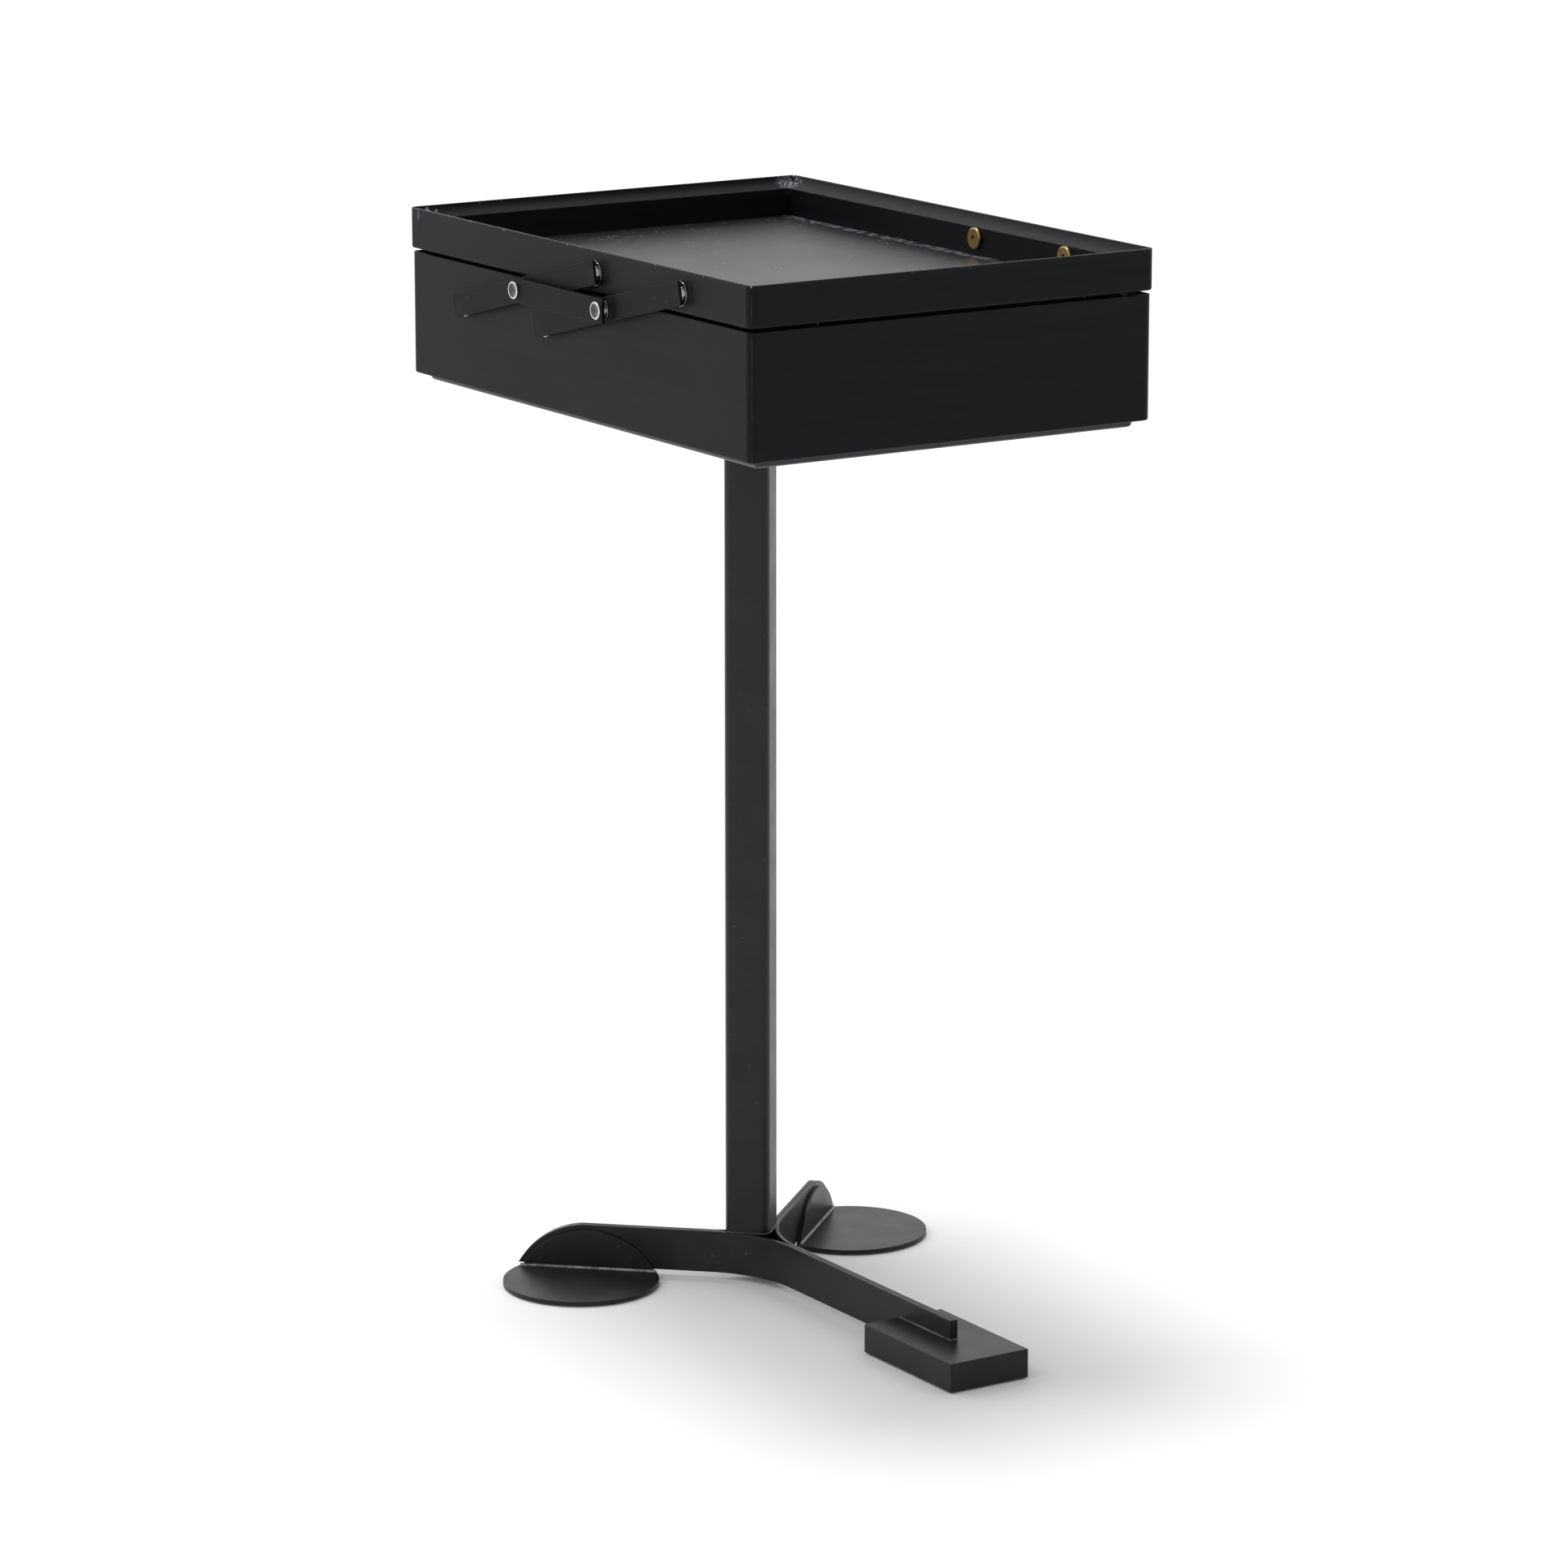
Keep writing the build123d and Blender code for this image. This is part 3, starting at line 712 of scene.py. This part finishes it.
class DRAFTING_OT_stage(Operator):
    """Pale floor, soft sky, key light and the camera"""
    bl_idname = "drafting_table.stage"
    bl_label = "Set the stage"

    def execute(self, context):
        stage = settings().stage
        self.floor(stage)
        self.sky(stage)
        self.sun(stage)
        self.camera(stage)
        context.scene.view_settings.view_transform = "Standard"
        return {"FINISHED"}

    @staticmethod
    def floor(stage):
        """A wide round sheet, finer towards the table."""
        rings = [0.6, 1.5, 4.0, 10.0, 40.0]
        shape = bmesh.new()
        sides = 64
        previous = None
        for reach in rings:
            turns = [2 * pi * k / sides for k in range(sides)]
            ring = [shape.verts.new((reach * cos(t), reach * sin(t), 0)) for t in turns]
            if previous is None:
                shape.faces.new(ring)
            else:
                for i in range(sides):
                    j = (i + 1) % sides
                    shape.faces.new((previous[i], ring[i], ring[j], previous[j]))
            previous = ring
        mesh = bpy.data.meshes.new("studio_floor")
        shape.to_mesh(mesh)
        shape.free()
        mesh.materials.append(pale_floor("floor_paint", stage.floor))
        floor = bpy.data.objects.new("studio_floor", mesh)
        bpy.context.scene.collection.objects.link(floor)

    @staticmethod
    def sky(stage):
        """Soft light from all round, stronger from the left and behind, over a white backdrop."""
        world = bpy.data.worlds.new("studio_sky")
        world.use_nodes = True
        nodes, links = world.node_tree.nodes, world.node_tree.links
        nodes.clear()
        background = nodes.new("ShaderNodeBackground")
        background.inputs["Color"].default_value = (1, 1, 1, 1)
        output = nodes.new("ShaderNodeOutputWorld")
        seen = nodes.new("ShaderNodeLightPath").outputs["Is Camera Ray"]
        slope = nodes.new("ShaderNodeVectorMath")
        slope.operation = "DOT_PRODUCT"
        slope.inputs[1].default_value = Vector((-0.6, 0.8, 0.0)) * stage.sky * stage.sky_slope
        links.new(nodes.new("ShaderNodeTexCoord").outputs["Generated"], slope.inputs[0])
        light = nodes.new("ShaderNodeMath")
        light.inputs[1].default_value = stage.sky
        links.new(slope.outputs["Value"], light.inputs[0])
        strength = nodes.new("ShaderNodeMapRange")
        strength.inputs["To Max"].default_value = 1.05
        links.new(light.outputs[0], strength.inputs["To Min"])
        links.new(seen, strength.inputs["Value"])
        links.new(strength.outputs[0], background.inputs["Strength"])
        links.new(background.outputs[0], output.inputs["Surface"])
        bpy.context.scene.world = world

    @staticmethod
    def sun(stage):
        """The key light, high behind the table."""
        light = bpy.data.lights.new("key_sun", "SUN")
        light.energy = stage.sun
        light.angle = stage.sun_spread
        lamp = bpy.data.objects.new("key_sun", light)
        towards = Vector((-sin(stage.sun_side) * cos(stage.sun_height),
                          cos(stage.sun_side) * cos(stage.sun_height), sin(stage.sun_height)))
        lamp.rotation_euler = towards.to_track_quat("Z", "Y").to_euler()
        bpy.context.scene.collection.objects.link(lamp)

    @staticmethod
    def camera(stage):
        """The camera, at standing height in front of the left corner."""
        lens = bpy.data.cameras.new("camera")
        lens.lens = stage.lens
        lens.sensor_width = 36.0
        lens.clip_end = 200.0
        camera = bpy.data.objects.new("camera", lens)
        camera.location = stage.camera_place
        camera.rotation_euler = (pi / 2 - stage.pitch, 0, -stage.heading)
        bpy.context.scene.collection.objects.link(camera)
        bpy.context.scene.camera = camera


# ---------------------------------------------------------------- panel
OPERATORS = (DRAFTING_OT_walls, DRAFTING_OT_panels, DRAFTING_OT_steel, DRAFTING_OT_links,
             DRAFTING_OT_fittings, DRAFTING_OT_pads, DRAFTING_OT_column_weld, DRAFTING_OT_folds,
             DRAFTING_OT_block_weld, DRAFTING_OT_stage)
GROUPS = (WoodSettings, SteelSettings, FittingSettings, WeldSettings, StageSettings, TableSettings)


class DRAFTING_PT_panel(Panel):
    """Lists the settings and the steps"""
    bl_idname = "DRAFTING_PT_panel"
    bl_label = "Drafting Table"
    bl_space_type = "VIEW_3D"
    bl_region_type = "UI"
    bl_category = "Drafting Table"

    def draw(self, context):
        for group_name in TableSettings.__annotations__:
            group = getattr(settings(), group_name)
            box = self.layout.box()
            box.label(text=group_name.title())
            for name in group.__annotations__:
                box.prop(group, name)
        for step in OPERATORS:
            self.layout.operator(step.bl_idname)


CLASSES = (*GROUPS, *OPERATORS, DRAFTING_PT_panel)


def register():
    for cls in CLASSES:
        bpy.utils.register_class(cls)
    bpy.types.Scene.drafting_table = PointerProperty(type=TableSettings)


def unregister():
    del bpy.types.Scene.drafting_table
    for cls in reversed(CLASSES):
        bpy.utils.unregister_class(cls)


def main():
    register()
    steps = bpy.ops.drafting_table
    steps.walls()
    steps.panels()
    steps.steel()
    steps.links()
    steps.fittings()
    steps.pads()
    steps.column_weld()
    steps.folds()
    steps.block_weld()
    steps.stage()


if __name__ == "__main__":
    main()
